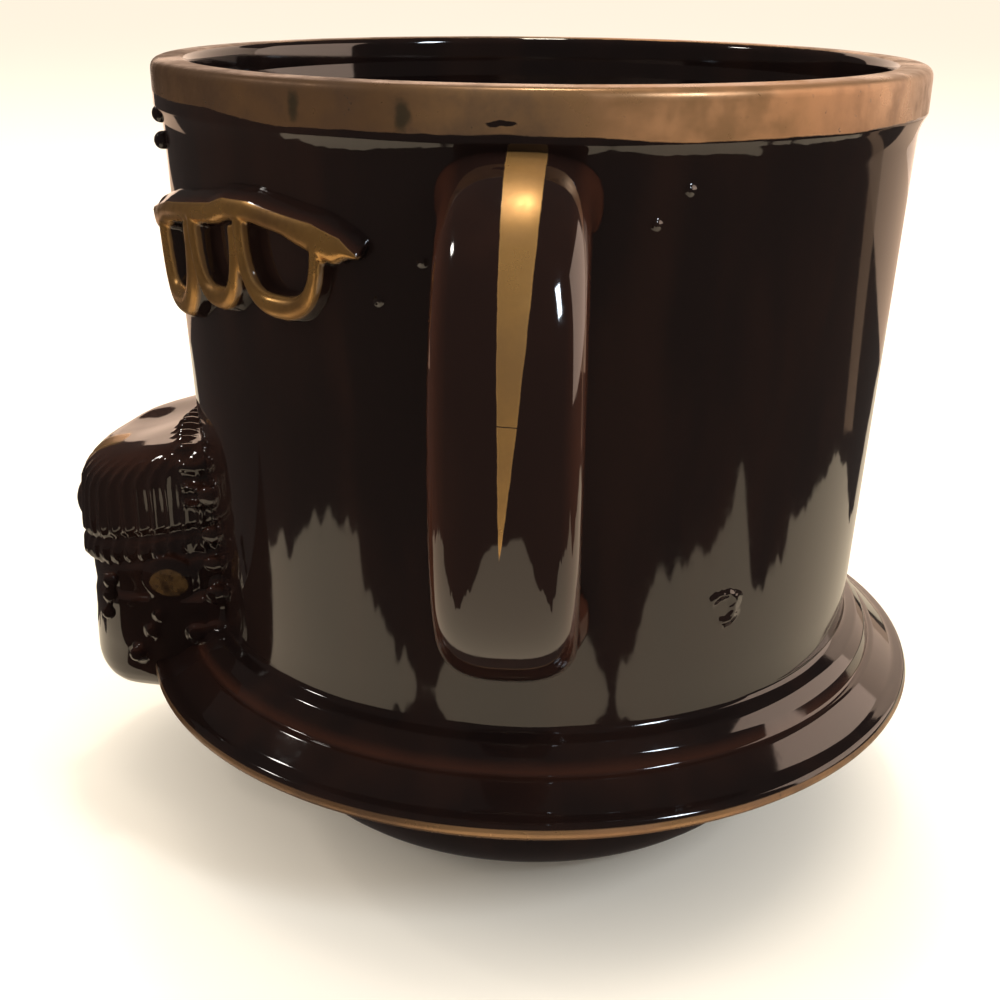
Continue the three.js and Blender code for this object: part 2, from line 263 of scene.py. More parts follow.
class Nodes:
    """The nodes of one material or world."""

    def __init__(self, owner):
        owner.use_nodes = True
        self.tree = owner.node_tree
        self.tree.nodes.clear()

    def add(self, kind, settings=None, inputs=(), output=0):
        node = self.tree.nodes.new(kind)
        for key, value in (settings or {}).items():
            setattr(node, key, value)
        pairs = inputs.items() if isinstance(inputs, dict) else enumerate(inputs)
        for key, value in pairs:
            if isinstance(value, Socket):
                self.tree.links.new(value.out, node.inputs[key])
            else:
                node.inputs[key].default_value = value
        return Socket(self, node.outputs[output]) if node.outputs else None

    def mix(self, share, first, second):
        settings = {"data_type": "RGBA"}
        return self.add("ShaderNodeMix", settings, {0: share, 6: first, 7: second}, output=2)

    def noise(self, where, scale, detail=3.0, roughness=0.5):
        inputs = {"Vector": where, "Scale": scale, "Detail": detail, "Roughness": roughness}
        return self.add("ShaderNodeTexNoise", {}, inputs)

    def attribute(self, name):
        return self.add("ShaderNodeAttribute", {"attribute_name": name}, output=2)

    def axes(self, where):
        split = self.add("ShaderNodeSeparateXYZ", {}, [where]).out.node
        return [Socket(self, split.outputs[i]) for i in range(3)]


glaze_dark = (0.0055, 0.0032, 0.0029, 1)
glaze_brown = (0.0095, 0.0046, 0.0036, 1)
# The thin-glaze colour; on the boss it is painted top light.
thin_glaze_and_top_light_colour = (0.060, 0.019, 0.010, 1)
bright_gold = (0.50, 0.275, 0.090, 1), (0.20, 0.110, 0.050, 1)
worn_gold = (0.27, 0.150, 0.068, 1), (0.115, 0.068, 0.040, 1)
gold_stain = (0.085, 0.068, 0.042, 1)
# Painted highlight and painted shade colours for the rim's gold.
painted_sheen_gold = (0.50, 0.25, 0.11, 1)
painted_shade_gold = (0.085, 0.042, 0.020, 1)
smear_green = (0.026, 0.025, 0.015, 1)
clay_red = (0.33, 0.13, 0.075, 1)
glaze_ior = 1.62


def glaze_material(name, gold, golds, wear=0.5, metal_share=0.75, clay=None, relief=None,
                   tint=None):
    """Mirror-gloss glaze over red clay, with fired gold where gold(nodes, where) is 1."""
    material = bpy.data.materials.new(name)
    nodes = Nodes(material)
    where = nodes.add("ShaderNodeTexCoord", {}, output=3)
    cloud = nodes.noise(where, 38, 4, 0.55)
    fine = nodes.noise(where, 420, 3, 0.6)
    stretched = nodes.add("ShaderNodeMapping", {}, {"Vector": where, "Scale": (1, 1, 0.22)})
    runs = nodes.noise(stretched, 75, 3, 0.5)
    thin_glaze_and_top_light = nodes.attribute("thin_glaze_and_top_light")
    base = nodes.mix(runs.rise(0.40, 0.72), glaze_dark, glaze_brown)
    # Thin glaze over edges and high relief; on the boss the same mix is painted top light.
    base = nodes.mix((thin_glaze_and_top_light * (0.55 + 0.6 * cloud)).clamped(), base, thin_glaze_and_top_light_colour)
    smear = nodes.noise(where, 60, 5, 0.62)
    speck = nodes.noise(where, 700, 2, 0.7)
    mask = gold(nodes, where)
    bare = speck.rise(0.66, 0.72) * smear.rise(0.45, 0.6) * wear
    mask = (mask * (1 - bare)).clamped()
    patina = (smear.rise(0.36, 0.70) * (0.35 + wear)).clamped()
    metal = nodes.mix(patina, *golds)
    metal = nodes.mix((cloud.rise(0.63, 0.72) * wear * 0.4).clamped(), metal, gold_stain)
    if tint:
        metal = tint(nodes, where, metal)
    color = nodes.mix(mask, base, metal)
    rough = 0.055 + 0.05 * fine.rise(0.45, 0.8) + mask * (0.20 + 0.34 * patina)
    metallic = mask * metal_share
    if clay:
        raw = clay(nodes, where)
        color = nodes.mix(raw, color, clay_red)
        rough = rough + raw * 0.7
    height = runs * 0.5 + cloud * 0.35 + fine * (0.012 + 0.05 * mask)
    bump = nodes.add("ShaderNodeBump", {}, {"Strength": 0.055, "Distance": 0.6 * mm,
                                            "Height": height})
    if relief:
        bump = nodes.add("ShaderNodeBump", {}, {"Distance": 0.5 * mm, "Normal": bump,
                                                "Height": relief(nodes, where)})
    shader = nodes.add("ShaderNodeBsdfPrincipled", {}, {
        "Base Color": color, "Roughness": rough.clamped(), "Metallic": metallic,
        "IOR": glaze_ior, "Normal": bump})
    nodes.add("ShaderNodeOutputMaterial", {}, [shader])
    return material


chip_place = (-2.8 * mm, 164.0 * mm)
chip_size = (2.7 * mm, 0.55 * mm)
gold_gap_start = 40 * mm
gold_gap_end = 60 * mm


def rim_gold(nodes, where):
    """Gold on the rim band, ragged below, with its gap and chip, and on the saucer's edge."""
    x, y, z = nodes.axes(where)
    ragged = nodes.noise(where, 34, 3, 0.5) - 0.5
    fine_ragged = nodes.noise(where, 210, 3, 0.6) - 0.5
    band_bottom = body_height - band_height
    radius = (x * x + y * y).math("SQRT")
    gap = (x * -1).rise(gold_gap_start, gold_gap_end) * 1.6 * mm
    gap = gap - x.rise(8 * mm, 30 * mm) * 0.9 * mm
    lower = z - gap + ragged * 2.2 * mm + fine_ragged * 0.5 * mm
    band = lower.rise(band_bottom + 1.4 * mm, band_bottom + 1.7 * mm)
    band = band * (radius + fine_ragged * 0.5 * mm).rise(rim_radius - rim_wall + 0.9 * mm,
                                                         rim_radius - rim_wall + 1.2 * mm)
    across = (x - chip_place[0]) / chip_size[0]
    along = (z - chip_place[1] + fine_ragged * 1.8 * mm) / chip_size[1]
    behind = y.rise(-0.01, 0) * 4
    band = band * (across * across + along * along + behind).rise(0.7, 1.1)
    wobble = radius + ragged * 1.0 * mm
    edge = wobble.rise(saucer_radius - 2.4 * mm, saucer_radius - 1.8 * mm)
    edge = edge * z.within(saucer_top - saucer_edge - 0.8 * mm, saucer_top - 0.7 * mm, 0.2 * mm)
    return (band + edge).clamped()


rim_smears = [(-38.6 * mm, -71.1 * mm, 166 * mm), (-19.2 * mm, -78.6 * mm, 164.7 * mm)]
smear_squash = 0.42
# Where the painted highlight on the rim's gold begins, is full, fades and ends.
sheen_from, sheen_full, sheen_fades, sheen_ends = 2 * mm, 20 * mm, 36 * mm, 72 * mm


def rim_painted_light_and_smears(nodes, where, metal):
    """Painted highlight on the gold right of the handle, painted shade left; green smears."""
    x, _, z = nodes.axes(where)
    cloud = nodes.noise(where, 60, 4, 0.6)
    ragged = nodes.noise(where, 330, 3, 0.6) - 0.5
    squat = nodes.add("ShaderNodeMapping", {}, {"Vector": where, "Scale": (1, 1, smear_squash)})
    # Painted highlight: the gold is lighter to the right of the handle.
    painted_sheen = x.rise(sheen_from, sheen_full) * (1 - x.rise(sheen_fades, sheen_ends))
    painted_sheen = painted_sheen * (0.35 + 0.65 * z.rise(100 * mm, 110 * mm))
    # Painted shade: the gold is darker to the left of the handle.
    metal = nodes.mix((x * -1).rise(4 * mm, 26 * mm) * 0.7, metal, painted_shade_gold)
    metal = nodes.mix(painted_sheen * (0.3 + 0.6 * cloud.rise(0.38, 0.58)), metal, painted_sheen_gold)
    for a, b, c in rim_smears:
        gap = nodes.add("ShaderNodeVectorMath", {"operation": "DISTANCE"},
                        [squat, (a, b, c * smear_squash)], output=1)
        reach = gap + (cloud - 0.5) * 3 * mm + ragged * 1.8 * mm
        metal = nodes.mix((1 - reach.rise(0.7 * mm, 1.8 * mm)) * 0.75, metal, smear_green)
    return metal


blemish_place = (40.6 * mm, -64.8 * mm, 72.4 * mm)
blemish_radius = 3.6 * mm
blemish_thickness = 1.5 * mm
blemish_specks = [(-18.1, 133.6), (21.1, 153.3), (17.0, 147.8), (-12.0, 141.0)]


def blemish(nodes, where):
    """A raised C of glaze on the wall to the right of the handle, and four specks."""
    x, y, z = nodes.axes(where)
    across, back, up = x - blemish_place[0], y - blemish_place[1], z - blemish_place[2]
    wobble = (nodes.noise(where, 260, 2, 0.5) - 0.5) * 2.4 * mm
    reach = (across * across + back * back + up * up).math("SQRT") + wobble
    ring = 1 - ((reach - blemish_radius).abs() / blemish_thickness).rise(0, 1)
    height = ring * (across + up * 0.4).rise(-3.2 * mm, -1.2 * mm)
    for degrees, level in blemish_specks:
        speck = around(wall_radius(level * mm), degrees, level * mm)
        gap = nodes.add("ShaderNodeVectorMath", {"operation": "DISTANCE"}, [where, speck], output=1)
        height = height + 1 - gap.rise(0.2 * mm, 1.3 * mm)
    return height


def foot_clay(nodes, where):
    """Bare clay where the glaze was wiped off the foot."""
    z = nodes.axes(where)[2]
    ragged = nodes.noise(where, 160, 3, 0.6)
    return 1 - (z + ragged * 0.5 * mm).rise(0.55 * mm, 0.8 * mm)


co = positions(body.data)
body_r = np.hypot(co[:, 0], co[:, 1])
step = np.exp(-(((co[:, 2] - (step_top - 1.6 * step_drop)) / (1.0 * mm)) ** 2))
step *= ramp(body_r, wall_foot_radius + 0.5 * mm, wall_foot_radius + 3 * mm)
keep_attribute(body.data, "thin_glaze_and_top_light", 0.45 * step)
body.data.materials.append(glaze_material("dipped_glaze", rim_gold, worn_gold, 0.6, 0.62,
                                          foot_clay, blemish, rim_painted_light_and_smears))
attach(body, "root")
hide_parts("mug")

# The handle: a strap pressed in its own mould and cast on with the body, rounded at both edges.
# The glaze drew thin over its edges, and a tapered gold stripe is painted down its face.
handle_top = 159.5 * mm
handle_bottom = 67.5 * mm
handle_reach = -low.y
handle_width = 24.4 * mm
handle_thickness = 16 * mm
handle_root = wall_foot_radius + 2.5 * mm
loop_squareness = 2.35
strap_squareness = 2.6
root_flare = 0.16
stripe_top = 158 * mm
stripe_end = 102.5 * mm
stripe_left = -0.4 * mm
stripe_lean = 1.3 * mm
stripe_width = 6.3 * mm
stripe_softness = 0.12 * mm
crack_height = 124.3 * mm


def oval(angle, power):
    """A point of a squared-off circle of radius 1."""
    c, s = math.cos(angle), math.sin(angle)
    return math.copysign(abs(c) ** (2 / power), c), math.copysign(abs(s) ** (2 / power), s)


def lofted(rings, closed=False):
    """A skin through rings of points, with a flat cap on each end unless closed is set."""
    bm = bmesh.new()
    loops = []
    for ring in rings:
        verts = [bm.verts.new(p) for p in ring]
        loops.append([bm.edges.new(pair) for pair in zip(verts, verts[1:] + verts[:1])])
    for first, second in zip(loops, loops[1:]):
        bmesh.ops.bridge_loops(bm, edges=first + second)
    if not closed:
        bmesh.ops.holes_fill(bm, edges=loops[0] + loops[-1], sides=0)
    bmesh.ops.recalc_face_normals(bm, faces=bm.faces)
    return bm


def handle_rings(steps=90, sides=44):
    middle = (handle_top + handle_bottom) / 2
    rise = (handle_top - handle_bottom) / 2 - handle_thickness / 2
    reach = handle_reach - handle_thickness / 2 - handle_root
    rings = []
    for i in range(steps + 1):
        share = 2 * i / steps - 1
        angle = math.pi / 2 * share
        out, up = oval(angle, loop_squareness)
        centre = Vector((handle_root + reach * out, middle + rise * up))
        normal = Vector((math.cos(angle) / reach, math.sin(angle) / rise)).normalized()
        flare = 1 + root_flare * max(0.0, (abs(share) - 0.80) / 0.20) ** 2
        ring = []
        for k in range(sides):
            across, thick = oval(2 * math.pi * k / sides, strap_squareness)
            offset = thick * handle_thickness / 2 * (1 + (flare - 1) * 0.5)
            ring.append((across * handle_width / 2 * flare,
                         -(centre.x + normal.x * offset), centre.y + normal.y * offset))
        rings.append(ring)
    return rings


def handle_gold(nodes, where):
    """A stripe that tapers to a point down the outer face, with a fine crack across it."""
    x, y, z = nodes.axes(where)
    ragged = (nodes.noise(where, 230, 3, 0.6) - 0.5) * 0.35 * mm
    share = (z - stripe_end) / (stripe_top - stripe_end)
    start = stripe_left - share * stripe_lean
    width = share * (1.25 - 0.25 * share) * stripe_width
    left = (x - start + ragged).rise(-stripe_softness, stripe_softness)
    inside = (start + width - x + ragged).rise(-stripe_softness, stripe_softness)
    crack = (z - crack_height + x * 0.05).abs().rise(0.05 * mm, 0.16 * mm)
    return left * inside * crack * nodes.attribute("outer")


handle = piece_from(lofted(handle_rings()), "mug_handle")
co = positions(handle.data)
edge = ramp(np.abs(co[:, 0]) / (handle_width / 2), 0.72, 1.0)
handle_middle = (handle_top + handle_bottom) / 2
across_loop = (-co[:, 1] - handle_root) / (handle_reach - handle_thickness / 2 - handle_root)
along_loop = np.abs(co[:, 2] - handle_middle) / (handle_top - handle_middle - handle_thickness / 2)
outer = np.clip(across_loop, 0, None) ** loop_squareness + along_loop ** loop_squareness
keep_attribute(handle.data, "outer", ramp(outer, 0.98, 1.02))
keep_attribute(handle.data, "thin_glaze_and_top_light", 0.45 * edge + 0.06)
handle.data.materials.append(glaze_material("handle_glaze", handle_gold, bright_gold, 0.1))
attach(handle, "root")
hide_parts("mug")

# The pair of raised ornaments beside the front: a leaf-ended brow with three hanging loops, pressed
# from the mould with the wall. Their flat faces are gilt, and the glaze pools round their feet.
eye_azimuth = 44.5
eye_half_span = 26.0
eye_relief = 4.0 * mm
eye_bed = 2.5 * mm
eye_bevel = 1.0 * mm
brow_top_bevel = 2.6 * mm
brow_line = [(-26, 140.8), (-13.5, 144.4), (1, 147.0), (4, 148.4), (9, 148.6), (19.5, 146.2),
             (23.5, 144.2), (26, 141.6)]
brow_half_width = 1.7 * mm
leaf_half_width = 0.9 * mm
loops = [(13.3, 6.5, 145.0 * mm, 130.4 * mm, 1.0 * mm),
         (0.5, 5.1, 144.0 * mm, 129.4 * mm, 1.0 * mm),
         (-12.2, 6.2, 142.0 * mm, 125.4 * mm, 1.7 * mm)]
loop_weight = 0.9 * mm
hanging_squareness = 2.7
wall_knots = [(-23.5, 159.6, 1.9), (-25, 154.2, 1.9), (-20.5, 141.4, 3.2), (-23.5, 135.6, 2.8),
              (-23, 129.0, 2.2)]
knot_standout = 0.3 * mm
ornament_voxel = 0.36 * mm
ornament_smoothing = 5
front_degrees = -90.0
metres_per_degree = math.radians(wall_top_radius)


def ridge(stations, upper_bevel):
    """A rounded ridge on the wall through (degrees, height, half width) stations."""
    section = [(-1, -eye_bed, eye_bevel)]
    for i in range(11):
        turn = math.pi * i / 10
        spread = eye_bevel if turn < math.pi / 2 else upper_bevel
        rise = math.sin(turn) ** 0.55
        side = -math.copysign(abs(math.cos(turn)) ** 0.8, math.cos(turn))
        section.append((side, eye_relief * rise, spread * (1 - rise)))
    section.append((1, -eye_bed, upper_bevel))
    rings = []
    for i, (degrees, z, half_width) in enumerate(stations):
        ahead = stations[min(i + 1, len(stations) - 1)]
        behind = stations[max(i - 1, 0)]
        run = Vector(((ahead[0] - behind[0]) * metres_per_degree, ahead[1] - behind[1]))
        run.normalize()
        ring = []
        for side, out, spread in section:
            shift = side * half_width + math.copysign(spread, side)
            height = z + run.x * shift
            turn = degrees - run.y * shift / metres_per_degree
            ring.append(around(wall_radius(height) + out, turn, height))
        rings.append(ring)
    return lofted(rings)


def lerp(a, b, t):
    return a + (b - a) * t


def brow_height(degrees):
    """The brow steps up past the middle and dips to both tips."""
    runs, heights = zip(*brow_line)
    return float(np.interp(degrees, runs, heights)) * mm


def brow(centre, mirror, steps=72):
    stations = []
    for i in range(steps + 1):
        share = mirror * (2 * i / steps - 1)
        leaf = max(0, 1 - abs(abs(share) - 0.80) / 0.22) ** 0.7
        taper = min(1, (1.01 - abs(share)) / 0.14)
        half_width = (brow_half_width + leaf_half_width * leaf) * taper
        middle = brow_height(share * eye_half_span) - half_width
        stations.append((centre + mirror * share * eye_half_span, middle, half_width))
    return ridge(stations, brow_top_bevel)


def loop(centre, mirror, offset, half_span, top, bottom, half_width, steps=40):
    stations = []
    for i in range(steps + 1):
        angle = math.pi * i / steps
        across, down = oval(angle, hanging_squareness)
        turn = centre + mirror * (offset - across * half_span)
        weight = half_width + loop_weight * math.sin(angle) ** 4
        stations.append((turn, top - (top - bottom) * down, weight))
    return ridge(stations, eye_bevel)


def bake(piece):
    """Puts a piece's modifiers into its mesh."""
    graph = bpy.context.evaluated_depsgraph_get()
    mesh = bpy.data.meshes.new_from_object(piece.evaluated_get(graph))
    piece.modifiers.clear()
    old = piece.data
    piece.data = mesh
    bpy.data.meshes.remove(old)
    mesh.name = piece.name
    mesh.polygons.foreach_set("use_smooth", [True] * len(mesh.polygons))


def fused(bms, name, voxel, smoothing):
    """Joins closed forms into one skin and rounds it over, as thick glaze does."""
    joined = bmesh.new()
    for part in bms:
        scrap = bpy.data.meshes.new("form")
        part.to_mesh(scrap)
        part.free()
        joined.from_mesh(scrap)
        bpy.data.meshes.remove(scrap)
    piece = piece_from(joined, name)
    remesh = piece.modifiers.new("fuse", "REMESH")
    remesh.mode = "VOXEL"
    remesh.voxel_size = voxel
    smooth = piece.modifiers.new("round over", "SMOOTH")
    smooth.factor = 0.5
    smooth.iterations = smoothing
    bake(piece)
    return piece


def face_gold(nodes, where):
    ragged = (nodes.noise(where, 300, 3, 0.6) - 0.5) * 0.25
    gold = nodes.attribute("gold")
    return (gold + ragged).rise(0.42, 0.58) * (0.14 + 0.86 * gold.rise(0.60, 0.85))


def make_eye(name, centre, mirror):
    forms = [brow(centre, mirror)] + [loop(centre, mirror, *shape) for shape in loops]
    for degrees, z, size in wall_knots:
        bm = bmesh.new()
        place = around(wall_radius(z * mm) + knot_standout, centre + mirror * degrees, z * mm)
        size = Matrix.Diagonal((size * mm, size * mm, size * mm, 1))
        bmesh.ops.create_uvsphere(bm, u_segments=20, v_segments=12, radius=1,
                                  matrix=Matrix.Translation(place) @ size)
        forms.append(bm)
    piece = fused(forms, name, ornament_voxel, ornament_smoothing)
    co, normal = positions(piece.data), vertex_normals(piece.data)
    radius = np.hypot(co[:, 0], co[:, 1])
    share = (co[:, 2] - step_top) / (body_height - band_height - cove_radius - step_top)
    out = radius - (wall_foot_radius + (wall_top_radius - wall_foot_radius) * share)
    facing = (normal[:, 0] * co[:, 0] + normal[:, 1] * co[:, 1]) / radius
    degrees = mirror * (np.degrees(np.arctan2(co[:, 0], -co[:, 1])) - centre)
    under = np.interp((degrees + 180) % 360 - 180, *zip(*brow_line)) * mm - co[:, 2]
    face = ramp(out, 0.30 * eye_relief, 0.62 * eye_relief) * ramp(under, -0.5 * mm, 0.1 * mm)
    face *= 0.6 + 0.4 * ramp(facing, 0.35, 0.75)
    keep_attribute(piece.data, "gold", face)
    keep_attribute(piece.data, "thin_glaze_and_top_light", 0.3 * ramp(out, 0.4 * eye_relief, 0.9 * eye_relief))
    piece.data.materials.append(gilt_glaze)
    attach(piece, "root")
    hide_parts("mug")


gilt_glaze = glaze_material("gilt_glaze", face_gold, bright_gold, 0.45, 0.9)
make_eye("eye_near", front_degrees + eye_azimuth, 1)
make_eye("eye_far", front_degrees - eye_azimuth, -1)

# The boss on the front: three tiers cast hollow with the wall, a ribbed cap with a cross-ribbed
# border against the wall, a rolled lip under it and a rounded chin over the saucer's edge.
cap_reach = 106 * mm
cap_half_width = 29.5 * mm
cap_top = 89.5 * mm
cap_bottom = 63.5 * mm
cap_droop = 0.24
cap_rounding = 7.5 * mm
roll_reach = 104.5 * mm
roll_half_width = 30.5 * mm
roll_height = 9 * mm
chin_reach = 104.5 * mm
chin_half_width = 33 * mm
chin_bottom = 29 * mm
chin_rounding = 8 * mm
tier_lap = 1.2 * mm
tier_rounding = 2.6 * mm
boss_corner = 2.9
boss_root = wall_foot_radius - 16 * mm
rib_pitch = 3.7 * mm
rib_depth = 0.45 * mm
groove_rise = 6.5 * mm
groove_width = 0.9 * mm
groove_depth = 1.2 * mm
nub_radius = 8 * mm
nub_height = 67 * mm
nub_standout = 4.2 * mm
border_pitch = 4.1 * mm
border_count = 9
border_standout = 4.6 * mm
border_size = (3.6 * mm, 1.3 * mm, 2.6 * mm)
flap_out, flap_height = 79.5 * mm, 58.5 * mm
flap_size = (7.0 * mm, 1.7 * mm, 6.4 * mm)
lump_size = 2.3 * mm
chin_lumps = [(92.5, 58.5), (93, 54.6), (93.7, 50.3), (82, 50), (84, 46), (78, 40), (88, 40)]
near_wall_lumps = [(68.4, 80), (68, 71), (68, 64), (67.9, 57), (68.3, 48), (72.6, 47), (66, 40),
                   (64, 34)]
boss_voxel = 0.55 * mm
boss_smoothing = 3


def tier_plan(reach, half_width, count):
    """Points at even steps round a tier, from the wall round the front and back to the wall."""
    fine = [oval(math.pi * (i / 400 - 0.5), boss_corner) for i in range(401)]
    track = np.array([(boss_root + (reach - boss_root) * out, across * half_width)
                      for out, across in fine])
    length = np.concatenate([[0], np.cumsum(np.hypot(*np.diff(track, axis=0).T))])
    even = np.linspace(0, length[-1], count)
    return np.column_stack([np.interp(even, length, track[:, k]) for k in (0, 1)]), even


def tier(reach, half_width, bottom, top, bottom_rounding, top_rounding, droop, ribs, rows=()):
    """One tier, rounded above and below, that droops forwards, with ribs and level grooves."""
    levels = []
    for i in range(6, -1, -1):
        a = math.pi / 2 * i / 6
        levels.append((bottom + bottom_rounding * (1 - math.sin(a)),
                       bottom_rounding * (1 - math.cos(a))))
    span = top - top_rounding - bottom - bottom_rounding
    levels += [(bottom + bottom_rounding + span * i / 12, 0) for i in range(1, 12) if span > 0]
    for i in range(7):
        a = math.pi / 2 * i / 6
        levels.append((top - top_rounding * (1 - math.sin(a)), top_rounding * (1 - math.cos(a))))
    rings = []
    for z, inset in levels:
        plan, even = tier_plan(reach - inset, half_width - inset, 360)
        groove = sum(math.exp(-(((z - row) / groove_width) ** 2)) for row in rows)
        ring = []
        for (out, across), run in zip(plan, even - even[-1] / 2):
            wave = math.cos(2 * math.pi * run / rib_pitch)
            fade = max(0.0, 1 - inset / max(top_rounding, bottom_rounding) * 1.3)
            push = ribs * rib_depth * wave * fade - groove_depth * groove
            bearing = Vector((out - wall_foot_radius, across)).normalized()
            reach_out = out + push * max(0, bearing.x)
            fall = droop * (reach_out - wall_foot_radius)
            ring.append((-reach_out, across + push * bearing.y, z - fall))
        rings.append(ring)
    return lofted(rings)


def knob(out, across, z, radii):
    """An egg-shaped lump."""
    bm = bmesh.new()
    place = Matrix.Translation((-out, across, z)) @ Matrix.Diagonal((*radii, 1))
    bmesh.ops.create_uvsphere(bm, u_segments=32, v_segments=20, radius=1, matrix=place)
    return bm


def border_place(run):
    """Across, drop and tip-over of the border at a run from the middle, over the cap's corner."""
    flat = cap_half_width - cap_rounding
    past = max(0, abs(run) - flat)
    turn = min(past / cap_rounding, math.pi / 2)
    down = cap_rounding * (1 - math.cos(turn)) + max(0, past - cap_rounding * math.pi / 2)
    across = min(abs(run), flat) + cap_rounding * math.sin(turn)
    return math.copysign(across, run), down, turn / (math.pi / 2)


def boss_forms():
    roll_bottom = cap_bottom - roll_height
    forms = [
        tier(cap_reach, cap_half_width, cap_bottom, cap_top, tier_rounding, cap_rounding, cap_droop,
             1, [cap_bottom + groove_rise]),
        tier(roll_reach, roll_half_width, roll_bottom, cap_bottom + tier_lap, tier_rounding,
             tier_rounding, cap_droop, 0),
        tier(chin_reach, chin_half_width, chin_bottom, roll_bottom + tier_lap, chin_rounding,
             tier_rounding, cap_droop / 2, 0),
        knob(cap_reach + nub_standout - nub_radius, 0, nub_height, (nub_radius,) * 3),
    ]
    for i in range(-border_count, border_count + 1):
        across, drop, tip = border_place(i * border_pitch)
        out = math.sqrt(max(0, wall_foot_radius ** 2 - across ** 2)) + border_standout
        length, width, height = border_size
        forms.append(knob(out, across, cap_top - 0.7 * mm - drop - cap_droop * 5 * mm,
                          (length, lerp(width, height, tip), lerp(height, width, tip))))
    for side in (-1, 1):
        for out, z in chin_lumps:
            forms.append(knob(out * mm, side * (chin_half_width - 2.6 * mm), z * mm,
                              (lump_size, 0.8 * lump_size, lump_size)))
        for out, z in near_wall_lumps:
            forms.append(knob(out * mm, side * (chin_half_width - 0.6 * mm), z * mm,
                              (1.5 * lump_size, lump_size, 1.2 * lump_size)))
        forms.append(knob(flap_out, side * (roll_half_width - 0.6 * mm), flap_height, flap_size))
    return forms


boss_swelling = 0.9 * mm
pocket_place = Vector((-63.4 * mm, 0, 59.25 * mm))
pocket_radii = (34.6 * mm, 21.5 * mm, 22.25 * mm)


def hollowed(piece, bm):
    """Takes a form out of a piece."""
    cutter = piece_from(bm, "cutter")
    cut = piece.modifiers.new("hollow", "BOOLEAN")
    cut.operation = "DIFFERENCE"
    cut.solver = "EXACT"
    cut.object = cutter
    bake(piece)
    bpy.data.objects.remove(cutter)


def pocket():
    """The hollow behind the boss, open to the inside of the mug."""
    bm = bmesh.new()
    place = Matrix.Translation(pocket_place) @ Matrix.Diagonal((*pocket_radii, 1))
    bmesh.ops.create_uvsphere(bm, u_segments=64, v_segments=40, radius=1, matrix=place)
    return bm


boss = fused(boss_forms(), "front_boss", boss_voxel, boss_smoothing)
co, normal = positions(boss.data), vertex_normals(boss.data)
swelling = np.array([noise.noise(Vector(p) * 75) for p in co]) - 0.45
boss.data.vertices.foreach_set("co", (co + normal * swelling[:, None] * boss_swelling).ravel())
boss.data.update()
inside = wall_foot_radius - wall_thickness + 2 * mm
inside_cone = [(0, 0), (inside, 0), (inside + 2 * mm, 0.1), (0, 0.1)]
hollowed(boss, turned([Vector(p) for p in inside_cone], 96))
hollowed(boss, pocket())
hollowed(body, pocket())
co, normal = positions(boss.data), vertex_normals(boss.data)
# Painted top light: the boss's upward-facing faces are painted lighter brown with the thin-glaze
# colour.
keep_attribute(boss.data, "thin_glaze_and_top_light", 0.25 * ramp(normal[:, 2], 0.3, 0.9))
streak = np.exp(-(((co[:, 1] + 6 * mm) / (5.2 * mm)) ** 2))
streak *= ramp(-co[:, 0], 92 * mm, 95 * mm)
streak *= ramp(co[:, 2], 76 * mm, 78 * mm) * (1 - ramp(-co[:, 0], 103 * mm, 105 * mm))
shift = Vector((3.1, 7.4, 1.7))
ragged = np.array([noise.noise(Vector(p) * 190 + shift) for p in co]) * 0.2 * mm
flap_gap = np.hypot((-co[:, 0] - flap_out) / 6.0, (co[:, 2] - 58.0 * mm) / 5.2) + ragged
flap = 1 - ramp(flap_gap, 0.65 * mm, 0.9 * mm)
streak = np.maximum(streak, 0.50 * flap * ramp(np.abs(co[:, 1]), 27 * mm, 29 * mm))
keep_attribute(boss.data, "gold", streak)
boss.data.materials.append(gilt_glaze)
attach(boss, "root")
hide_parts("mug")

# A plain studio: pale floor, a soft overhead light, a cool lamp to the right and a warm fill. The
# glaze mirrors a ragged patch of pale floor round the mug, pale sheets behind it and to its right,
# a narrow brown panel and a dark flag beside the boss. The rest that it mirrors is dark.
floor_size = 30.0
patch_radius = 155 * mm
patch_hole = 98 * mm
patch_jag = 26 * mm
patch_lobes = [(0, 130, 14), (-57, 105, 17), (-84, 45, 14), (38, 40, 9), (55, 90, 12), (64, 95, 3),
               (90, 85, 18), (112, 110, 14), (160, 400, 21), (-144, 270, 12), (-175, 400, 16)]
panel_degrees = (112.5, 119.5)
panel_reach = (0.32, 1.4)
back_floor_start = 0.35
flag_left, flag_right, flag_front = -0.160, -0.070, -0.039
flag_bottom, flag_top = 0.016, 0.058
backdrop_distance = 0.9
backdrop_left = -0.55
backdrop_right = 1.3
backdrop_height = 0.75
side_sheet_front = -0.30
side_sheet_height = 1.12
side_sheet_glow = 1.2


def stage_plane(name, bm, color, camera_side, mirror_side, glow=0):
    """A plane that only the camera and lights see, or only mirrored rays."""
    plane = piece_from(bm, name)
    material = bpy.data.materials.new(name)
    nodes = Nodes(material)
    shader = nodes.add("ShaderNodeBsdfPrincipled", {}, {
        "Base Color": color, "Roughness": 0.75, "Specular IOR Level": 0,
        "Emission Color": color, "Emission Strength": glow})
    nodes.add("ShaderNodeOutputMaterial", {}, [shader])
    plane.data.materials.append(material)
    plane.visible_glossy = mirror_side
    plane.visible_camera = camera_side
    plane.visible_diffuse = camera_side
    plane.visible_shadow = camera_side


def sheet(corners):
    bm = bmesh.new()
    bm.faces.new([bm.verts.new(p) for p in corners])
    return bm


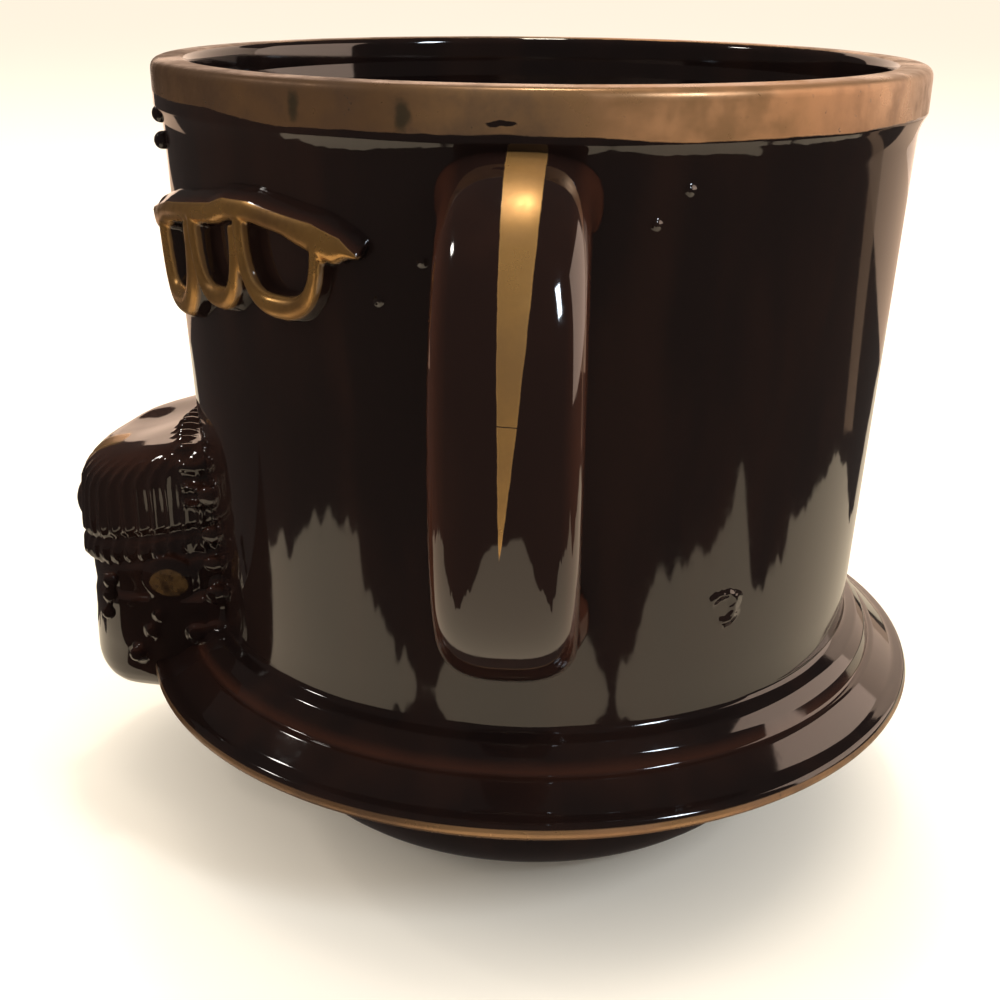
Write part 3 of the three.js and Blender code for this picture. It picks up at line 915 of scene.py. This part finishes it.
def patch_edge(degrees):
    reach = patch_radius
    for middle, height, spread in patch_lobes:
        gap = (degrees - middle + 180) % 360 - 180
        reach += height * mm * math.exp(-((gap / spread) ** 2))
    bearing = Vector((math.cos(math.radians(degrees)), math.sin(math.radians(degrees)), 0))
    jag = noise.noise(bearing * 7) + 0.6 * noise.noise(bearing * 17)
    jag += 0.3 * noise.noise(bearing * 40)
    return around(reach + patch_jag * jag, degrees, 0)


def upright(x0, x1, y, z1, z0=0):
    return sheet([(x0, y, z0), (x1, y, z0), (x1, y, z1), (x0, y, z1)])


pale = (0.96, 0.88, 0.77, 1)
pink = (0.86, 0.66, 0.56, 1)
brown = (0.42, 0.31, 0.25, 1)
dark = (0.02, 0.012, 0.010, 1)
stage_plane("floor", sheet([(x * floor_size, y * floor_size, 0) for x, y in
                            ((-1, -1), (1, -1), (1, 1), (-1, 1))]), pale, True, False)
turns = [i / 2 for i in range(720)]
hole = [around(patch_hole, degrees, 0) for degrees in turns]
stage_plane("floor_patch", lofted([hole, [patch_edge(degrees) for degrees in turns]], True),
            pale, False, True)
stage_plane("backdrop", upright(backdrop_left, backdrop_right, backdrop_distance, backdrop_height),
            pink, False, True)
stage_plane("back_floor", sheet([(backdrop_left, back_floor_start, 0),
                                 (backdrop_right, back_floor_start, 0),
                                 (backdrop_right, backdrop_distance, 0),
                                 (backdrop_left, backdrop_distance, 0)]), pink, False, True)
stage_plane("side_sheet", sheet([(backdrop_right, side_sheet_front, 0),
                                (backdrop_right, backdrop_distance, 0),
                                (backdrop_right, backdrop_distance, side_sheet_height),
                                (backdrop_right, side_sheet_front, side_sheet_height)]),
            pink, False, True, side_sheet_glow)
stage_plane("flag", upright(flag_left, flag_right, flag_front, flag_top, flag_bottom),
            dark, False, True)
(start, end), (near, far) = panel_degrees, panel_reach
stage_plane("panel", sheet([around(near, start, 0), around(far, start, 0), around(far, end, 0),
                            around(near, end, 0)]), brown, False, True)


def area_light(name, place, aim, size, power, color, mirrored=True):
    light = bpy.data.lights.new(name, "AREA")
    light.shape = "RECTANGLE"
    light.size, light.size_y = size
    light.energy = power
    light.color = color
    lamp = bpy.data.objects.new(name, light)
    lamp.location = place
    lamp.rotation_euler = (Vector(aim) - Vector(place)).to_track_quat("-Z", "Y").to_euler()
    lamp.visible_glossy = mirrored
    bpy.context.scene.collection.objects.link(lamp)


area_light("overhead", (0.2, 0.3, 1.6), (0, 0, 0.1), (1.4, 1.4), 14, (1.0, 0.93, 0.82), False)
area_light("ceiling_lamp", (-0.02, 0.30, 1.5), (0, 0, 0.1), (0.12, 0.12), 4, (1.0, 0.90, 0.74))
area_light("cool_lamp", (0.85, -0.75, 0.95), (0, 0, 0.1), (0.16, 0.34), 7, (0.78, 0.89, 1.0))
area_light("fill", (-1.2, -0.2, 0.8), (0, 0, 0.1), (0.5, 0.7), 5, (1.0, 0.92, 0.82), False)
area_light("left_lamp", (-1.1, 0.0, 1.1), (0, 0, 0.1), (0.14, 0.10), 1.5, (1.0, 0.95, 0.88))

world = bpy.data.worlds.new("studio")
bpy.context.scene.world = world
nodes = Nodes(world)
seen = nodes.add("ShaderNodeBackground", {}, {"Color": (1.0, 0.95, 0.84, 1), "Strength": 1.05})
lit = nodes.add("ShaderNodeBackground", {}, {"Color": (1.0, 0.97, 0.91, 1), "Strength": 1.06})
mirrored = nodes.add("ShaderNodeBackground", {}, {"Color": (1.0, 0.80, 0.70, 1), "Strength": 0.06})
is_camera = nodes.add("ShaderNodeLightPath", {}, output=0)
is_glossy = nodes.add("ShaderNodeLightPath", {}, output=3)
both = nodes.add("ShaderNodeMixShader", {}, [is_glossy, lit, mirrored])
both = nodes.add("ShaderNodeMixShader", {}, [is_camera, both, seen])
nodes.add("ShaderNodeOutputWorld", {}, [both])

# The camera stands just above the rim and looks down on the handle side.
camera_distance = 306.8 * mm
camera_height = body_height + 18.3 * mm
camera_azimuth = 2.2
camera_pitch = math.radians(21.26)
camera_yaw = math.radians(-1.38)
camera_roll = math.radians(0.59)
camera_lens = 49.86

camera_data = bpy.data.cameras.new("camera")
camera_data.lens = camera_lens
camera_data.sensor_width = 36
camera_data.clip_start = 0.01
camera = bpy.data.objects.new("camera", camera_data)
turn = Matrix.Rotation(math.radians(camera_azimuth), 4, "Z")
forward = Vector((math.sin(camera_yaw) * math.cos(camera_pitch),
                  math.cos(camera_yaw) * math.cos(camera_pitch), -math.sin(camera_pitch)))
right = Vector((math.cos(camera_yaw), -math.sin(camera_yaw), 0))
up = right.cross(forward)
rolled = math.cos(camera_roll) * right + math.sin(camera_roll) * up
rolled_up = math.cos(camera_roll) * up - math.sin(camera_roll) * right
place = Matrix.Translation((0, -camera_distance, camera_height))
aim = Matrix((rolled, rolled_up, -forward)).transposed().to_4x4()
camera.matrix_world = turn @ place @ aim
bpy.context.scene.collection.objects.link(camera)
bpy.context.scene.camera = camera
bpy.context.scene.view_settings.view_transform = "Standard"
